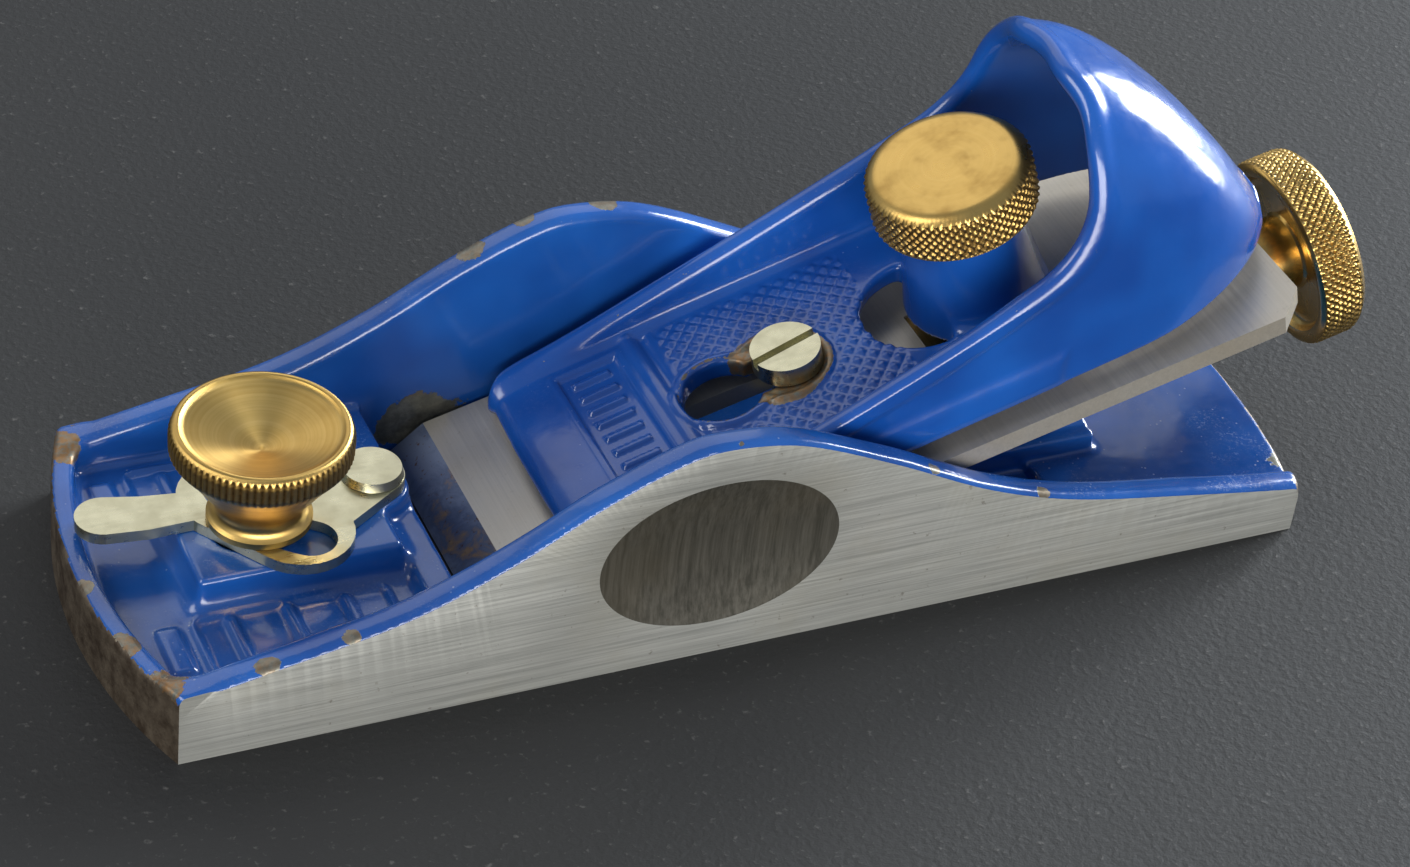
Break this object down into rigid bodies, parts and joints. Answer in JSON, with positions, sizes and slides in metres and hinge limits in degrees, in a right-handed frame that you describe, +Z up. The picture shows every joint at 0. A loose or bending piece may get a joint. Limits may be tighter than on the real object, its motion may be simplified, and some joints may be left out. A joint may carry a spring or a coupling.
{
  "type": "block plane",
  "caption": "Small hand plane with a cast body, a low bevel-up cutter, a hooded lever cap, a sliding toe plate and a screw depth adjuster.",
  "frame": {"origin": "middle of the sole: halfway between the crowns of the toe and the heel, on the sole's face", "axes": "+X from the toe to the heel, +Y across the plane, +Z up from the sole"},
  "size_m": [0.1687, 0.0506, 0.0624],
  "materials": {
    "blue_enamel_casting": "gloss enamel over cast iron, with the outer cheeks, sole and ends ground bare",
    "blue_enamel_cap": "gloss enamel over a casting",
    "ground_steel": "surface ground",
    "plain_steel": "turned",
    "cutter_steel": "surface ground across its width",
    "nickel_plate": "satin nickel plate",
    "turned_brass": "turned, with knurled or fluted grips"
  },
  "bodies": {
    "plane_body": {"body": "blue_enamel_casting", "lever_cap_screw": "nickel_plate", "lever_pivot_pin": "nickel_plate"},
    "toe_plate": {"mouth_plate": "ground_steel", "knob_stud": "plain_steel"},
    "knob": {"front_knob": "turned_brass"},
    "lever": {"mouth_lever": "nickel_plate"},
    "cap": {"lever_cap": "blue_enamel_cap"},
    "cap_clamp": {"thumb_wheel": "turned_brass", "thumb_screw": "plain_steel"},
    "iron": {"cutter": "cutter_steel", "adjuster_slide": "turned_brass"},
    "depth_wheel": {"adjuster_spindle": "plain_steel", "adjuster_wheel": "turned_brass", "adjuster_collar": "plain_steel", "wheel_pin": "plain_steel", "collar_pin": "plain_steel"}
  },
  "joints": [
    {"name": "mouth_lever_swing", "type": "hinge", "parent": "plane_body", "child": "lever", "pos_m": [-0.04, 0.0042, 0.0111], "axis": [0, 0, 1], "range_deg": [-11, 20]},
    {"name": "mouth_slide", "type": "slide", "parent": "plane_body", "child": "toe_plate", "axis": [-1, 0, 0], "range_m": [-0.00076, 0.00139]},
    {"name": "front_knob_turn", "type": "hinge", "parent": "toe_plate", "child": "knob", "pos_m": [-0.0554, 0, 0.018], "axis": [0, 0, 1], "range_deg": [0, 540]},
    {"name": "cap_release", "type": "slide", "parent": "plane_body", "child": "cap", "axis": [0.9632, 0, 0.2689], "range_m": [0, 0.008]},
    {"name": "thumb_wheel_turn", "type": "hinge", "parent": "cap", "child": "cap_clamp", "pos_m": [0.0296, 0, 0.0473], "axis": [-0.3486, 0, 0.9373], "range_deg": [0, 540]},
    {"name": "depth_wheel_turn", "type": "hinge", "parent": "plane_body", "child": "depth_wheel", "pos_m": [0.08135, 0, 0.0242], "axis": [0.9632, 0, 0.2689], "range_deg": [-540, 1080]},
    {"name": "cutter_feed", "type": "slide", "parent": "plane_body", "child": "iron", "axis": [0.9632, 0, 0.2689], "range_m": [-0.0015, 0.003]}
  ],
  "couplings": [
    {"joint": "mouth_lever_swing", "follows": "mouth_slide", "rad_per_m": 250},
    {"joint": "depth_wheel_turn", "follows": "cutter_feed", "rad_per_m": 6283.1}
  ]
}
